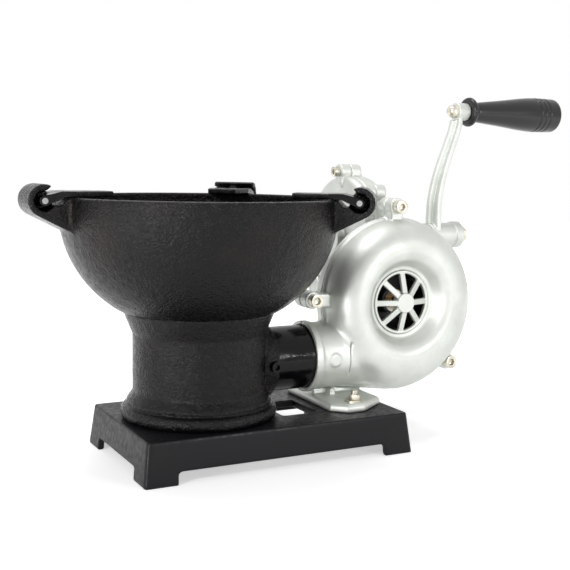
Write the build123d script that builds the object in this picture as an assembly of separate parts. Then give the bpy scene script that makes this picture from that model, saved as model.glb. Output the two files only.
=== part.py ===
from build123d import *
import os
from math import cos, degrees, pi, radians, sin, sqrt, tan

# Hand crank forge blower: a cast iron fire bowl on a pedestal, blown through a short air pipe by an
# aluminium fan blower that a crank drives through a worm gear. Millimetres, +Z up. X runs along the base
# from bowl to blower, Y points away from the fan's inlet side. Everything is drawn from the floor under the
# base plate's centre, and written with its origin on the floor under the middle of the whole outline.

X_AXIS, Y_AXIS, Z_AXIS = (1, 0, 0), (0, 1, 0), (0, 0, 1)

# --- clearances -------------------------------------------------------------------------------------
RUNNING = 0.05        # radial, shaft in bush and pin in eye
SEATED = 0.02         # radial, pieces of one body pushed together
PARTED = 0.3          # between bodies that pass or rest on each other

# --- middle of the outline, from the base plate's centre --------------------------------------------
MIDDLE_X = 105.9
MIDDLE_Y = 10.5

# --- base plate -------------------------------------------------------------------------------------
BASE_LENGTH = 254.0
BASE_WIDTH = 150.0
BASE_HEIGHT = 37.5
BASE_FLARE = 4.4          # each side leans out by this much at the floor
BASE_CORNER = 4.0
SKIRT_WALL = 6.0
TOP_WALL = 7.0
FOOT_HEIGHT = 11.0
FOOT_LENGTH = 26.0
WINDOW_LENGTH = 35.0
WINDOW_WIDTH = 51.0
WINDOW_X = 34.5
WINDOW_Y = -12.5

# --- pedestal ---------------------------------------------------------------------------------------
BOWL_X = -51.0
PEDESTAL_RADIUS = 60.0
PEDESTAL_WALL = 8.0
PEDESTAL_NECK = 113.5     # where the straight wall starts to flare towards the bowl
PEDESTAL_TOP = 133.8
PEDESTAL_COLLAR = 68.2
FLANGE_RADIUS = 71.0
FLANGE_HEIGHT = 11.5
FLANGE_RING = 65.6
SOCKET_RADIUS = 35.0
SOCKET_END = 14.0
PEDESTAL_BOLT_CIRCLE = 61.0
PEDESTAL_BOLT_COUNT = 4

# --- fire bowl --------------------------------------------------------------------------------------
BOWL_FOOT_RADIUS = 70.3
BOWL_RIM_RADIUS = 123.5
BOWL_RIM_Z = 235.0
BOWL_BULGE_RADIUS = 106.0
BOWL_BULGE_Z = 166.5
BOWL_WALL = 7.0
BOWL_FLOOR = 145.0
BOWL_FLOOR_RADIUS = 64.0
THROAT_RADIUS = 45.0
SPIGOT_DEPTH = 9.0
GRATE_RADIUS = 52.0
GRATE_THICKNESS = 7.0
GRATE_SLOT = 6.0
GRATE_SLOT_PITCH = 12.0

# --- ears and pot rests -----------------------------------------------------------------------------
EAR_ANGLES = {"left": 180.0, "front": -35.0, "rear": 53.0}
PIVOT_RADIUS = 143.0
PIVOT_Z = 232.5
EAR_RADIUS = 13.6
EAR_WIDTH = 41.0
EAR_HOLLOW = 8.4
EAR_ROOT_Z = 205.0
EAR_LIP = 116.0           # degrees above level where the hook's lip ends
EAR_HEEL = -160.0         # and where the hook runs into its root
EAR_WEB = 6.0             # web in the middle of the hook that holds the pin
PIN_RADIUS = 2.5
REST_THICKNESS = 5.0
REST_REACH = 84.0
REST_TIP_WIDTH = 27.0
REST_TILT = 30.0          # how far a rest tips up before it meets the lip
KNUCKLE_RADIUS = 4.4

# --- air pipe ---------------------------------------------------------------------------------------
PIPE_RADIUS = 30.15
PIPE_WALL = 4.0
PIPE_Z = 83.0
PIPE_START = 3.0
PIPE_END = 70.0
SET_SCREW_RADIUS = 3.0

# --- blower scroll ----------------------------------------------------------------------------------
FAN_X = 152.4
FAN_Z = 133.0
SCROLL_START_ANGLE = 190.0
SCROLL_END_ANGLE = -90.0
SCROLL_START = 75.0
SCROLL_END = 89.0
SCROLL_WALL = 4.0
COVER_DEPTH = 22.0
COVER_ROUND = 13.0
SHELL_DEPTH = 20.0
SHELL_ROUND = 8.0
RIM_LIP = 2.0
RIM_LIP_DEPTH = 3.0
DOME_RADIUS = 70.5
DOME_CREST_RADIUS = 53.0
DOME_CREST = 38.0
LIP_RADIUS = 41.5
LIP_DEPTH = 33.0
GUARD_DEPTH = 23.0
INLET_RADIUS = 31.0
OUTLET_START = 54.0
OUTLET_RADIUS = 32.0
OUTLET_BORE = 27.0
THROAT_RISE = 3.5         # the scroll's floor stands this much above the outlet tube's
OUTLET_RING = 34.0
OUTLET_RING_WIDTH = 7.0
OUTLET_SOCKET = 16.5
PAD_X = 74.0              # blank round pad cast on the outlet's front
PAD_RADIUS = 6.0
PAD_RISE = 0.9
LUG_CIRCLE = 92.3
LUG_ANGLES = (90.0, 177.0, 315.0)
LUG_RADIUS = 8.5
LUG_DEPTH = 12.0

# --- inlet guard ------------------------------------------------------------------------------------
GUARD_BORE = 28.0
SPOKE_COUNT = 8
SPOKE_WIDTH = 5.5
GUARD_HUB_RADIUS = 9.5
GUARD_HUB_FRONT = 31.0

# --- fan --------------------------------------------------------------------------------------------
IMPELLER_RADIUS = 62.0
IMPELLER_EYE = 27.0
IMPELLER_BACK = 12.0
IMPELLER_FRONT = -14.0
IMPELLER_PLATE = 3.0
IMPELLER_HUB = 13.0
BLADE_COUNT = 8
BLADE_THICKNESS = 2.5
BLADE_SWEEP = 30.0
FAN_SHAFT_RADIUS = 5.0
FAN_SHAFT_GAP = 3.0       # from the shaft's rear end to the cap

# --- worm gear --------------------------------------------------------------------------------------
CENTRE_DISTANCE = 57.0
CRANK_Y = 73.0
WHEEL_TEETH = 36
WORM_STARTS = 3
WHEEL_PITCH_RADIUS = 45.0
WORM_PITCH_RADIUS = CENTRE_DISTANCE - WHEEL_PITCH_RADIUS
TOOTH_ADDENDUM = 2.1
TOOTH_DEDENDUM = 2.6
TOOTH_SHARE = 0.42        # share of the pitch that a tooth or thread fills at the pitch line
WHEEL_WIDTH = 12.0
WORM_LENGTH = 26.0
CRANK_Z = FAN_Z + CENTRE_DISTANCE

# --- gear case --------------------------------------------------------------------------------------
CASE_RADIUS = 64.0
CASE_CAVITY = 50.5
CASE_LEFT = 136.0
CASE_SPLIT = 146.0
CASE_RIGHT = 166.0
CASE_WALL = 4.0
CASE_ROUND = 7.0
CASE_LUG_CIRCLE = 68.0
CASE_LUG_ANGLES = (90.0, 135.0, 30.0, -20.0)
CASE_LUG_RADIUS = 8.0
CASE_LUG_LEFT = 134.0
CASE_LUG_RIGHT = 158.0
TUNNEL_RADIUS = 19.5
TUNNEL_BORE = 15.4
TUNNEL_END = 127.0
CAP_THICKNESS = 4.0
CASE_BOSS_RADIUS = 13.0
CASE_BOSS_LEFT = 128.0

# --- crank ------------------------------------------------------------------------------------------
CRANK_THROW = 135.0
CRANK_SHAFT_RADIUS = 6.0
SNOUT_RADIUS = 13.0
SNOUT_END = 248.0
BUSH_RADIUS = 9.0
BUSH_LENGTH = 18.0
HUB_RADIUS = 13.2
HUB_COLLAR_RADIUS = 14.6
HUB_COLLAR = 9.0
HUB_END = 289.0
ARM_X = 254.0             # inner face of the arm's flange at the hub
ARM_OFFSET = 28.0         # how far the arm bends outwards on its way to the handle
ARM_FLANGE = 5.5
ARM_ROOT_WIDTH = 24.0
ARM_TIP_WIDTH = 13.0
ARM_RIB = 6.0
ARM_RIB_WIDTH = 5.0
TIP_BOSS_RADIUS = 9.5
TIP_BOSS_LENGTH = 15.0

# --- handle -----------------------------------------------------------------------------------------
SPINDLE_RADIUS = 5.0
GRIP_LENGTH = 123.0
GRIP_RADIUS = 19.3
GRIP_NECK = 10.2
GRIP_BULB = 16.0
GRIP_GROOVE = 0.9
GRIP_END = 3.5            # rounding of the far end
DOME_NUT_RADIUS = 7.0
DOME_NUT_HEIGHT = 9.0

# --- fasteners --------------------------------------------------------------------------------------
M6_SHANK, M6_ACROSS, M6_NUT, M6_HEAD = 3.0, 10.0, 5.0, 4.0
M8_SHANK, M8_ACROSS, M8_NUT, M8_HEAD = 4.0, 13.0, 6.5, 5.3
M10_SHANK, M10_ACROSS, M10_NUT = 5.0, 16.0, 8.0
M8_SOCKET_HEAD, M8_SOCKET_HEIGHT, M8_SOCKET_KEY = 6.5, 8.0, 6.0
M6_SOCKET_HEAD, M6_SOCKET_HEIGHT, M6_SOCKET_KEY = 5.0, 6.0, 5.0
HOLE_PLAY = 0.3           # radial, fastener in its clearance hole

# --- blower foot ------------------------------------------------------------------------------------
FOOT_LEFT, FOOT_RIGHT = 62.0, 122.0
FOOT_HALF_WIDTH = 56.0
FOOT_CUT_LEFT, FOOT_CUT_RIGHT = 13.0, 26.0
FOOT_THICKNESS = 7.6
FOOT_BOLT_X = 88.0
FOOT_BOLT_Y = 43.0
FOOT_WASHER_RADIUS = 9.0
WASHER = 1.6


# --- shared shapes ----------------------------------------------------------------------------------
def rod(radius, start, axis, length):
    """Round bar that runs from start along axis."""
    return extrude(Plane(origin=start, z_dir=axis) * Circle(radius), length)


def tube(outer, inner, start, axis, length):
    """Round bar with a bore right through it."""
    return extrude(Plane(origin=start, z_dir=axis) * (Circle(outer) - Circle(inner)), length)


def turned(profile, origin, axis):
    """Spin a face drawn with x as the radius and y as the height, and stand it on origin along axis."""
    return Plane(origin=origin, z_dir=axis).location * revolve(Plane.XZ * profile, Axis.Z)


def hexagon(across, start, axis, length):
    """Hexagonal bar, such as a nut or a bolt's head."""
    return extrude(Plane(origin=start, z_dir=axis) * RegularPolygon(across / 2, 6, major_radius=False), length)


def socket_screw(shank, reach, head, height, key, seat, axis):
    """Cap screw whose head stands on seat and whose shank runs back from it, against axis."""
    back = tuple(-component for component in axis)
    key_floor = tuple(s + a * height / 2 for s, a in zip(seat, axis))
    body = rod(head, seat, axis, height) + rod(shank, seat, back, reach)
    return body - hexagon(key, key_floor, axis, height)


def from_bowl(angle, piece):
    """Carry a piece drawn at the bowl's axis out to its angle round the bowl."""
    return Pos(BOWL_X, 0, 0) * Rot(0, 0, angle) * piece


def write(name, solids):
    """Write one node about the middle of the outline; a list makes a group of separate solids."""
    pieces = solids if isinstance(solids, list) else [solids]
    to_middle = Pos(-MIDDLE_X, -MIDDLE_Y, 0)
    node = Compound(label=name, children=[to_middle * solid for piece in pieces for solid in piece.solids()])
    export_step(node, f"parts/{name}.step")


# --- base plate -------------------------------------------------------------------------------------
def base_footprint(inset, level):
    """The plate's rounded outline at one level, drawn in by inset."""
    flare = 2 * BASE_FLARE * (1 - level / BASE_HEIGHT) - 2 * inset
    outline = RectangleRounded(BASE_LENGTH + flare, BASE_WIDTH + flare, BASE_CORNER)
    return Plane.XY.offset(level) * outline


def pedestal_bolt_places():
    """Where the pedestal's bolts come up through the plate."""
    step = 360 / PEDESTAL_BOLT_COUNT
    turns = [radians(step * (i + 0.5)) for i in range(PEDESTAL_BOLT_COUNT)]
    return [(BOWL_X + PEDESTAL_BOLT_CIRCLE * cos(t), PEDESTAL_BOLT_CIRCLE * sin(t)) for t in turns]


def foot_bolt_places():
    return [(FOOT_BOLT_X, side * FOOT_BOLT_Y) for side in (-1, 1)]


def base_plate():
    tray_top = BASE_HEIGHT - TOP_WALL
    body = loft([base_footprint(0, 0), base_footprint(0, BASE_HEIGHT)])
    body -= loft([base_footprint(SKIRT_WALL, 0), base_footprint(SKIRT_WALL, tray_top)])
    for plane, length in ((Plane.XZ, BASE_LENGTH), (Plane.YZ, BASE_WIDTH)):
        arch = RectangleRounded(length - 2 * FOOT_LENGTH, 2 * FOOT_HEIGHT, BASE_CORNER)
        body -= extrude(plane * arch, BASE_LENGTH, both=True)
    window = Pos(WINDOW_X, WINDOW_Y) * RectangleRounded(WINDOW_LENGTH, WINDOW_WIDTH, 2)
    body -= extrude(window, BASE_HEIGHT + 1)
    for x, y in pedestal_bolt_places() + foot_bolt_places():
        body -= rod(M8_SHANK + HOLE_PLAY, (x, y, 0), Z_AXIS, BASE_HEIGHT + 1)
    return body


# --- pedestal ---------------------------------------------------------------------------------------
def pedestal():
    inner = PEDESTAL_RADIUS - PEDESTAL_WALL
    bead_top = BASE_HEIGHT + FLANGE_HEIGHT
    bead_flat = FLANGE_RADIUS - FLANGE_HEIGHT / 4
    groove = FLANGE_RING - 1.5
    ring_top = bead_top + 4.5
    profile = make_face(
        Line((inner, BASE_HEIGHT), (bead_flat, BASE_HEIGHT))
        + ThreePointArc((bead_flat, BASE_HEIGHT), (FLANGE_RADIUS, BASE_HEIGHT + FLANGE_HEIGHT / 2),
                        (bead_flat, bead_top))
        + Polyline((bead_flat, bead_top), (groove, bead_top + 1), (FLANGE_RING, bead_top + 2.5),
                   (FLANGE_RING, ring_top), (PEDESTAL_RADIUS, ring_top + 8),
                   (PEDESTAL_RADIUS, PEDESTAL_NECK))
        + ThreePointArc((PEDESTAL_RADIUS, PEDESTAL_NECK), (PEDESTAL_RADIUS + 3.2, PEDESTAL_NECK + 7.5),
                        (PEDESTAL_COLLAR, PEDESTAL_TOP))
        + Polyline((PEDESTAL_COLLAR, PEDESTAL_TOP), (inner, PEDESTAL_TOP), (inner, BASE_HEIGHT))
    )
    body = turned(profile, (BOWL_X, 0, 0), Z_AXIS)
    socket_start = BOWL_X + inner
    socket = rod(SOCKET_RADIUS, (socket_start, 0, PIPE_Z), X_AXIS, SOCKET_END - socket_start)
    body += socket - rod(inner, (BOWL_X, 0, 0), Z_AXIS, PEDESTAL_TOP)
    body -= rod(PIPE_RADIUS + SEATED, (BOWL_X, 0, PIPE_Z), X_AXIS, PEDESTAL_RADIUS + SOCKET_END - BOWL_X)
    body -= rod(SET_SCREW_RADIUS + SEATED, set_screw_seat(), Y_AXIS, SOCKET_RADIUS)
    for x, y in pedestal_bolt_places():
        body -= rod(M8_SHANK + SEATED, (x, y, BASE_HEIGHT), Z_AXIS, FLANGE_HEIGHT - 2)
    return body


def set_screw_seat():
    """The set screw enters the socket from the inlet side, at the pipe's height."""
    return (SOCKET_END - 6, -SOCKET_RADIUS, PIPE_Z)


def pipe_set_screw():
    x, y, z = set_screw_seat()
    reach = SOCKET_RADIUS - PIPE_RADIUS
    return socket_screw(SET_SCREW_RADIUS, reach, M6_SOCKET_HEAD, M6_SOCKET_HEIGHT, M6_SOCKET_KEY,
                        (x, y, z), (0, -1, 0))


def pedestal_bolts():
    head_z = BASE_HEIGHT - TOP_WALL - M8_HEAD
    reach = TOP_WALL + FLANGE_HEIGHT - 2.5
    return [hexagon(M8_ACROSS, (x, y, head_z), Z_AXIS, M8_HEAD)
            + rod(M8_SHANK, (x, y, head_z + M8_HEAD), Z_AXIS, reach)
            for x, y in pedestal_bolt_places()]


# --- fire bowl --------------------------------------------------------------------------------------
def bowl_skin():
    """The bowl's casting as a turned shape: a spigot for the pedestal under a hollow bowl."""
    spigot = PEDESTAL_RADIUS - PEDESTAL_WALL - PARTED
    seat = GRATE_RADIUS + PARTED
    seat_z = BOWL_FLOOR - GRATE_THICKNESS - 1
    rim_inner = BOWL_RIM_RADIUS - BOWL_WALL
    bulge = (BOWL_BULGE_RADIUS - 0.75 * BOWL_WALL, BOWL_BULGE_Z + 0.66 * BOWL_WALL)
    outside = (
        Polyline((THROAT_RADIUS, PEDESTAL_TOP - SPIGOT_DEPTH), (spigot, PEDESTAL_TOP - SPIGOT_DEPTH),
                 (spigot, PEDESTAL_TOP), (BOWL_FOOT_RADIUS, PEDESTAL_TOP))
        + ThreePointArc((BOWL_FOOT_RADIUS, PEDESTAL_TOP), (BOWL_BULGE_RADIUS, BOWL_BULGE_Z),
                        (BOWL_RIM_RADIUS, BOWL_RIM_Z))
    )
    inside = (
        Line((BOWL_RIM_RADIUS, BOWL_RIM_Z), (rim_inner, BOWL_RIM_Z))
        + ThreePointArc((rim_inner, BOWL_RIM_Z), bulge, (BOWL_FLOOR_RADIUS, BOWL_FLOOR))
        + Polyline((BOWL_FLOOR_RADIUS, BOWL_FLOOR), (seat, BOWL_FLOOR), (seat, seat_z),
                   (THROAT_RADIUS, seat_z), (THROAT_RADIUS, PEDESTAL_TOP - SPIGOT_DEPTH))
    )
    return revolve(Plane.XZ * make_face(outside + inside), Axis.Z)


def ear_slab(profile, width):
    """Extrude a profile drawn with x outwards and y up, centred across the ear."""
    return extrude(Plane.XZ * profile, width / 2, both=True)


def ear_sector(radius, start, end):
    """Wedge of a disc round the pivot, in degrees above level."""
    mid = (start + end) / 2
    rim = [(PIVOT_RADIUS + radius * cos(radians(a)), PIVOT_Z + radius * sin(radians(a)))
           for a in (start, mid, end)]
    centre = (PIVOT_RADIUS, PIVOT_Z)
    return make_face(Line(centre, rim[0]) + ThreePointArc(*rim) + Line(rim[2], centre))


def at_pivot(radius):
    """Disc round the pivot."""
    return Pos(PIVOT_RADIUS, PIVOT_Z) * Circle(radius)


def rest_bar(spare):
    """Side view of a rest's bar, from its tip over the rim and down to the pivot, spare larger all round."""
    low, high = BOWL_RIM_Z + PARTED, BOWL_RIM_Z + PARTED + REST_THICKNESS
    bend = BOWL_RIM_RADIUS + 3
    side = KNUCKLE_RADIUS - 0.3
    return make_face(Polyline((REST_REACH, low - spare), (bend, low - spare),
                              (PIVOT_RADIUS - 1, PIVOT_Z - side - spare),
                              (PIVOT_RADIUS + 1, PIVOT_Z + side + spare),
                              (bend + 2, high + spare), (REST_REACH, high + spare),
                              (REST_REACH, low - spare)))


def ear():
    """One hook ear: a thick C open towards the bowl, its root, and the web that holds the pin."""
    wall = BOWL_RIM_RADIUS - BOWL_WALL / 2 - 1
    lean, heel = radians(-62), radians(EAR_HEEL)
    toe = (PIVOT_RADIUS + EAR_RADIUS * cos(lean), PIVOT_Z + EAR_RADIUS * sin(lean))
    root = make_face(Polyline((wall, BOWL_RIM_Z), (wall, EAR_ROOT_Z), toe, (PIVOT_RADIUS, PIVOT_Z),
                              (PIVOT_RADIUS + EAR_RADIUS * cos(heel), PIVOT_Z + EAR_RADIUS * sin(heel)),
                              (BOWL_RIM_RADIUS, BOWL_RIM_Z), (wall, BOWL_RIM_Z)))
    tipped = Pos(PIVOT_RADIUS, PIVOT_Z) * Rot(0, 0, -REST_TILT) * Pos(-PIVOT_RADIUS, -PIVOT_Z) * rest_bar(2 * PARTED)
    hook = ear_sector(EAR_RADIUS, EAR_HEEL, EAR_LIP) + root - at_pivot(EAR_HOLLOW) - tipped
    body = ear_slab(hook, EAR_WIDTH) + ear_slab(at_pivot(EAR_HOLLOW + 1), EAR_WEB)
    return body - ear_slab(at_pivot(PIN_RADIUS + SEATED), EAR_WIDTH)


def fire_bowl():
    body = Pos(BOWL_X, 0, 0) * bowl_skin()
    for angle in EAR_ANGLES.values():
        body += from_bowl(angle, ear())
    return body


def fire_grate():
    floor = BOWL_FLOOR - GRATE_THICKNESS - 1
    body = rod(GRATE_RADIUS, (BOWL_X, 0, floor), Z_AXIS, GRATE_THICKNESS)
    rows = int((THROAT_RADIUS - GRATE_SLOT) // GRATE_SLOT_PITCH)
    for row in range(-rows, rows + 1):
        y = row * GRATE_SLOT_PITCH
        length = 2 * sqrt((THROAT_RADIUS - 2) ** 2 - y ** 2) - GRATE_SLOT
        slot = Pos(BOWL_X, y, floor) * SlotOverall(length, GRATE_SLOT)
        body -= extrude(slot, GRATE_THICKNESS)
    return body


# --- pot rests --------------------------------------------------------------------------------------
def pot_rest():
    """Flat bar that narrows towards its tip, with a knuckle slotted for the ear's web."""
    side = ear_slab(rest_bar(0) + at_pivot(KNUCKLE_RADIUS) - at_pivot(PIN_RADIUS + RUNNING), EAR_WIDTH)
    wide, tip = EAR_WIDTH / 2 - 2 * PARTED, REST_TIP_WIDTH / 2
    root, end = BOWL_RIM_RADIUS - BOWL_WALL, PIVOT_RADIUS + EAR_RADIUS
    plan = make_face(Polyline((REST_REACH, -tip), (root, -wide), (end, -wide), (end, wide), (root, wide),
                              (REST_REACH, tip), (REST_REACH, -tip)))
    side &= extrude(plan, 2 * BOWL_RIM_Z)
    return side - ear_slab(at_pivot(EAR_HOLLOW + 1 + 2 * PARTED), EAR_WEB + 2 * PARTED)


def pot_rest_pin():
    return ear_slab(at_pivot(PIN_RADIUS), EAR_WIDTH - 4 * PARTED)


# --- air pipe ---------------------------------------------------------------------------------------
def air_pipe():
    return tube(PIPE_RADIUS, PIPE_RADIUS - PIPE_WALL, (PIPE_START, 0, PIPE_Z), X_AXIS, PIPE_END - PIPE_START)


# --- blower housing ---------------------------------------------------------------------------------
def scroll_point(share, offset):
    """A point on the scroll, from its tongue (share 0) clockwise to its lowest point (share 1)."""
    turn = radians(SCROLL_START_ANGLE + share * (SCROLL_END_ANGLE - SCROLL_START_ANGLE))
    radius = SCROLL_START + share * (SCROLL_END - SCROLL_START) + offset
    return (FAN_X + radius * cos(turn), FAN_Z + radius * sin(turn))


def scroll_outline(offset=0.0):
    """Scroll seen from the inlet side, x right and y up: three growing arcs closed at the outlet."""
    arcs = 3
    points = [scroll_point(i / (2 * arcs), offset) for i in range(2 * arcs + 1)]
    curves = [ThreePointArc(*points[2 * i:2 * i + 3]) for i in range(arcs)]
    throat_x = points[0][0]
    floor_z = PIPE_Z - OUTLET_RADIUS + THROAT_RISE - offset
    closing = Polyline(points[-1], (throat_x, floor_z), points[0])
    return make_face(sum(curves[1:], curves[0]) + closing)


def facing(y):
    """Plane at a depth whose x points right and y points up, as the blower is seen from its inlet."""
    return Plane(origin=(0, y, 0), x_dir=X_AXIS, z_dir=(0, -1, 0))


def scroll_block(offset, back, front):
    """The scroll's outline between two depths; front is the smaller y."""
    return extrude(facing(back) * scroll_outline(offset), back - front)


def scroll_shell(offset, depth, edge, side):
    """The scroll from the parting plane to its flat end, the end's rim sloped off in two steps."""
    steps = ((0, 0), (0, depth - edge), (0.3 * edge, depth - 0.35 * edge), (edge, depth))
    return loft([facing(side * d) * scroll_outline(offset - inset) for inset, d in steps], ruled=True)


def on_fan(profile):
    """Spin a face about the fan's axis; its x is the radius and its y the depth towards the inlet."""
    return turned(profile, (FAN_X, 0, FAN_Z), (0, -1, 0))


def dome_skin():
    """The cover's front: a raised ring round a recess whose floor carries the inlet guard."""
    crest_mid = ((DOME_CREST_RADIUS + LIP_RADIUS) / 2, DOME_CREST - 0.8)
    outside = (
        ThreePointArc((DOME_RADIUS, COVER_DEPTH - 4), (DOME_RADIUS - 7.5, DOME_CREST - 6.5),
                      (DOME_CREST_RADIUS, DOME_CREST))
        + ThreePointArc((DOME_CREST_RADIUS, DOME_CREST), crest_mid, (LIP_RADIUS, LIP_DEPTH))
        + Line((LIP_RADIUS, LIP_DEPTH), (INLET_RADIUS + 4, GUARD_DEPTH))
        + Line((INLET_RADIUS + 4, GUARD_DEPTH), (INLET_RADIUS, GUARD_DEPTH))
    )
    closing = Polyline((INLET_RADIUS, GUARD_DEPTH), (INLET_RADIUS, 8), (DOME_RADIUS, 8),
                       (DOME_RADIUS, COVER_DEPTH - 4))
    return on_fan(make_face(outside + closing))


def dome_hollow():
    """Air space under the dome, one wall thickness inside it."""
    wall = SCROLL_WALL
    outside = (
        Line((DOME_RADIUS - wall, 0), (DOME_RADIUS - wall, COVER_DEPTH - 4 - wall / 2))
        + ThreePointArc((DOME_RADIUS - wall, COVER_DEPTH - 4 - wall / 2),
                        (DOME_RADIUS - 7.5 - wall * 0.8, DOME_CREST - 6.5 - wall * 0.8),
                        (DOME_CREST_RADIUS, DOME_CREST - wall))
    )
    closing = Polyline((DOME_CREST_RADIUS, DOME_CREST - wall), (LIP_RADIUS + wall, LIP_DEPTH - wall + 1),
                       (INLET_RADIUS + 4, GUARD_DEPTH - wall), (0, GUARD_DEPTH - wall), (0, 0),
                       (DOME_RADIUS - wall, 0))
    return on_fan(make_face(outside + closing))


def lug_places():
    return [(FAN_X + LUG_CIRCLE * cos(radians(a)), FAN_Z + LUG_CIRCLE * sin(radians(a))) for a in LUG_ANGLES]


def lugs(back, front):
    """The three screw lugs between two depths, each joined to the shell by a short web."""
    result = []
    for angle in LUG_ANGLES:
        web_length = LUG_CIRCLE - SCROLL_START + SCROLL_WALL
        middle = LUG_CIRCLE - web_length / 2
        outline = Pos(LUG_CIRCLE, 0) * Circle(LUG_RADIUS) + Pos(middle, 0) * Rectangle(web_length, 1.5 * LUG_RADIUS)
        placed = facing(back) * Pos(FAN_X, FAN_Z) * Rot(0, 0, angle) * outline
        result.append(extrude(placed, back - front))
    return result


def outlet(radius, start, end):
    return rod(radius, (start, 0, PIPE_Z), X_AXIS, end - start)


def half_space(front):
    """Large block on the inlet side of the parting plane, or behind it."""
    side = -1 if front else 1
    return Pos(FAN_X, side * BASE_WIDTH, FAN_Z) * Box(3 * BASE_LENGTH, 2 * BASE_WIDTH, 3 * BASE_LENGTH)


def outlet_neck():
    """Round outlet with the thicker ring at its mouth."""
    neck = outlet(OUTLET_RADIUS, OUTLET_START, FAN_X - IMPELLER_RADIUS)
    return neck + outlet(OUTLET_RING, OUTLET_START, OUTLET_START + OUTLET_RING_WIDTH)


def air_way():
    """Everything inside the blower that is air: scroll, outlet bore and the pipe's socket."""
    front = scroll_shell(-SCROLL_WALL, COVER_DEPTH - SCROLL_WALL, COVER_ROUND - 2, -1)
    back = scroll_shell(-SCROLL_WALL, SHELL_DEPTH - SCROLL_WALL, SHELL_ROUND - 1, 1)
    bore = outlet(OUTLET_BORE, OUTLET_START, FAN_X - IMPELLER_RADIUS)
    socket = outlet(PIPE_RADIUS + SEATED, OUTLET_START, OUTLET_START + OUTLET_SOCKET)
    return [front, back, bore, socket]


def front_cover():
    body = scroll_shell(0, COVER_DEPTH, COVER_ROUND, -1)
    body += outlet_neck() & half_space(True)
    body += dome_skin()
    body += rod(PAD_RADIUS, (PAD_X, -OUTLET_RADIUS - PAD_RISE, PIPE_Z), Y_AXIS, SCROLL_WALL)
    body += scroll_block(RIM_LIP, 0, -RIM_LIP_DEPTH)
    for lug in lugs(0, -LUG_DEPTH):
        body += lug
    for space in air_way() + [dome_hollow()]:
        body -= space
    body -= rod(INLET_RADIUS, (FAN_X, 0, FAN_Z), (0, -1, 0), DOME_CREST)
    for x, z in lug_places():
        body -= rod(M8_SHANK + HOLE_PLAY, (x, 0, z), (0, -1, 0), LUG_DEPTH)
    return body & half_space(True)


def housing_screws():
    reach = 2 * LUG_DEPTH - 3
    return [socket_screw(M8_SHANK, reach, M8_SOCKET_HEAD, M8_SOCKET_HEIGHT, M8_SOCKET_KEY,
                         (x, -LUG_DEPTH, z), (0, -1, 0)) for x, z in lug_places()]


def inlet_guard():
    """Spider that keeps fingers out of the fan: a ring, a hub disc and eight raised spokes."""
    ring_back = GUARD_DEPTH - SCROLL_WALL
    ring = on_fan(make_face(Polyline((GUARD_BORE, ring_back), (INLET_RADIUS - SEATED, ring_back),
                                     (INLET_RADIUS - SEATED, GUARD_DEPTH + 0.5),
                                     (GUARD_BORE + 1, GUARD_DEPTH + 0.5), (GUARD_BORE, GUARD_DEPTH - 0.5),
                                     (GUARD_BORE, ring_back))))
    hub = rod(GUARD_HUB_RADIUS, (FAN_X, -ring_back - 3, FAN_Z), (0, -1, 0), GUARD_HUB_FRONT - ring_back - 3)
    rise = make_face(Polyline((GUARD_HUB_RADIUS - 2, GUARD_HUB_FRONT - 5), (GUARD_BORE + 1, ring_back),
                              (GUARD_BORE + 1, GUARD_DEPTH), (GUARD_HUB_RADIUS - 2, GUARD_HUB_FRONT - 1),
                              (GUARD_HUB_RADIUS - 2, GUARD_HUB_FRONT - 5)))
    spoke = extrude(Plane.XZ * rise, SPOKE_WIDTH / 2, both=True)
    body = ring + hub
    stand = Plane(origin=(FAN_X, 0, FAN_Z), x_dir=X_AXIS, z_dir=(0, -1, 0)).location
    for i in range(SPOKE_COUNT):
        body += stand * Rot(0, 0, i * 360 / SPOKE_COUNT) * spoke
    return body


# --- gear case --------------------------------------------------------------------------------------
def case_disc(left, right):
    """The round wheel case between two stations along the crank's axis, edges rounded."""
    disc = rod(CASE_RADIUS, (CASE_LEFT, CRANK_Y, CRANK_Z), X_AXIS, CASE_RIGHT - CASE_LEFT)
    disc = fillet(disc.edges().filter_by(GeomType.CIRCLE), CASE_ROUND)
    keep = Pos((left + right) / 2, CRANK_Y, CRANK_Z) * Box(right - left, 4 * CASE_RADIUS, 4 * CASE_RADIUS)
    behind_fan = Pos(0, SHELL_DEPTH / 2 - CASE_RADIUS, 0) * Pos(FAN_X, 0, CRANK_Z) \
        * Box(CASE_RADIUS * 2, 2 * CASE_RADIUS + SHELL_DEPTH, 4 * CASE_RADIUS)
    return (disc & keep) - behind_fan


def case_lug_places():
    return [(CRANK_Y + CASE_LUG_CIRCLE * cos(radians(a)), CRANK_Z + CASE_LUG_CIRCLE * sin(radians(a)))
            for a in CASE_LUG_ANGLES]


def case_lugs(left, right):
    """Screw bosses round the wheel case, each with a web down to the case."""
    result = []
    for angle, (y, z) in zip(CASE_LUG_ANGLES, case_lug_places()):
        web = Pos((left + right) / 2, CRANK_Y, CRANK_Z) * Rot(angle, 0, 0) \
            * Pos(0, CASE_LUG_CIRCLE - CASE_LUG_RADIUS, 0) \
            * Box(right - left, 2 * CASE_LUG_RADIUS, 1.6 * CASE_LUG_RADIUS)
        result.append(rod(CASE_LUG_RADIUS, (left, y, z), X_AXIS, right - left) + web)
    return result


def gear_space():
    """Room for the worm wheel and the worm."""
    wheel = rod(CASE_CAVITY, (CASE_LEFT + CASE_WALL, CRANK_Y, CRANK_Z), X_AXIS,
                CASE_RIGHT - CASE_LEFT - 2 * CASE_WALL)
    worm = rod(TUNNEL_BORE, (FAN_X, CRANK_Y - WORM_LENGTH / 2 - 4, FAN_Z), Y_AXIS, WORM_LENGTH + 8)
    return [wheel, worm]


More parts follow.
